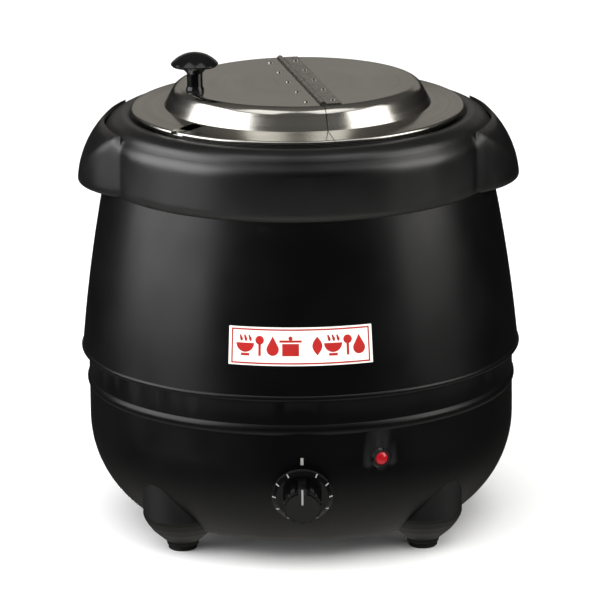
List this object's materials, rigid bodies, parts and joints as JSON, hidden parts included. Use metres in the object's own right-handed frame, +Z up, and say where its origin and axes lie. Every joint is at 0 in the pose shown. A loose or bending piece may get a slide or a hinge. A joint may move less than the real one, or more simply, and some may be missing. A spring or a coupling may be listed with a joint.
{
  "type": "electric soup kettle",
  "caption": "Round wet-heat soup kettle: black shell on feet, collar with hollow grips, lift-out steel pot, lid with a hinged half, rotary thermostat and lamp.",
  "frame": {"origin": "on the kettle's upright axis, in the plane of the table that its pads stand on", "axes": "+Z up, -Y to the front, where the control knob is, +X to the right seen from the front; the cable leaves along +Y"},
  "size_m": [0.34, 0.3748, 0.3743],
  "materials": {
    "black_shell": "semi-gloss black powder coat",
    "black_moulding": "fine satin moulding",
    "black_knob": "polished moulding",
    "leg_plastic": "satin moulding",
    "black_rubber": "matt",
    "pot_steel": "drawn and brushed round the axis",
    "lid_steel": "brushed",
    "hinge_steel": "bright rolled",
    "well_steel": "dull drawn",
    "zinc_plate": "zinc plated",
    "base_steel": "galvanised sheet",
    "element_sheath": "dull heat-stained",
    "ceramic": "matt ceramic",
    "phenolic": "moulded",
    "copper": "drawn",
    "terminal_white": "moulded",
    "brass": "turned",
    "mineral_wool": "felted",
    "wire_brown": "extruded sleeve",
    "wire_red": "extruded sleeve",
    "wire_blue": "extruded sleeve",
    "wire_green": "extruded sleeve",
    "lamp_red": "clear tinted lens",
    "lamp_white": "moulded",
    "print_white": "screen print",
    "label_white": "printed film"
  },
  "bodies": {
    "kettle": {"upper_shell": "black_shell", "lower_shell": "black_shell", "joining_ring": "zinc_plate", "ring_screws": "zinc_plate", "collar": "black_moulding", "collar_screws": "zinc_plate", "well_gasket": "black_rubber", "water_well": "well_steel", "insulation_jacket": "mineral_wool", "base_plate": "base_steel", "base_screws": "zinc_plate", "leg_front_left": "leg_plastic", "leg_front_right": "leg_plastic", "leg_rear_left": "leg_plastic", "leg_rear_right": "leg_plastic", "pad_front_left": "black_rubber", "pad_front_right": "black_rubber", "pad_rear_left": "black_rubber", "pad_rear_right": "black_rubber", "leg_bolts": "zinc_plate", "weld_nuts": "zinc_plate", "heating_element": "element_sheath", "element_terminals": "ceramic", "element_clamp": "zinc_plate", "clamp_studs": "zinc_plate", "clamp_nuts": "zinc_plate", "thermostat_body": "phenolic", "thermostat_screws": "zinc_plate", "thermostat_bulb": "copper", "capillary_tube": "copper", "thermal_cutout": "ceramic", "terminal_block": "terminal_white", "terminal_screws": "brass", "earth_stud": "brass", "wire_live": "wire_brown", "wire_switched": "wire_red", "wire_neutral": "wire_blue", "wire_earth": "wire_green", "wire_lamp": "wire_red", "lamp_bezel": "black_knob", "lamp_lens": "lamp_red", "lamp_body": "lamp_white", "lamp_nut": "lamp_white", "index_mark": "print_white", "label_plate": "label_white", "cable_bush": "leg_plastic", "cable_bush_nut": "leg_plastic"},
    "control": {"control_knob": "black_knob", "dial_marks": "print_white", "thermostat_shaft": "zinc_plate"},
    "pot": {"inner_pot": "pot_steel"},
    "lid": {"lid_fixed_half": "lid_steel", "hinge_leaf_fixed": "hinge_steel", "hinge_pin": "hinge_steel", "hinge_rivets": "hinge_steel"},
    "flap": {"lid_flap": "lid_steel", "hinge_leaf_flap": "hinge_steel", "flap_rivets": "hinge_steel", "lid_knob": "black_knob", "lid_knob_screw": "zinc_plate"}
  },
  "joints": [
    {"name": "knob_turn", "type": "hinge", "parent": "kettle", "child": "control", "pos_m": [0, -0.16222, 0.0645], "axis": [0, 0.9613, 0.2756], "range_deg": [0, 300]},
    {"name": "pot_lift", "type": "slide", "parent": "kettle", "child": "pot", "axis": [0, 0, 1], "range_m": [0, 0.26]},
    {"name": "lid_lift", "type": "slide", "parent": "pot", "child": "lid", "axis": [0, 0, 1], "range_m": [0, 0.24]},
    {"name": "flap_hinge", "type": "hinge", "parent": "lid", "child": "flap", "pos_m": [0.00295, 0.00057, 0.3445], "axis": [-0.1908, 0.9816, 0], "range_deg": [0, 140]}
  ]
}
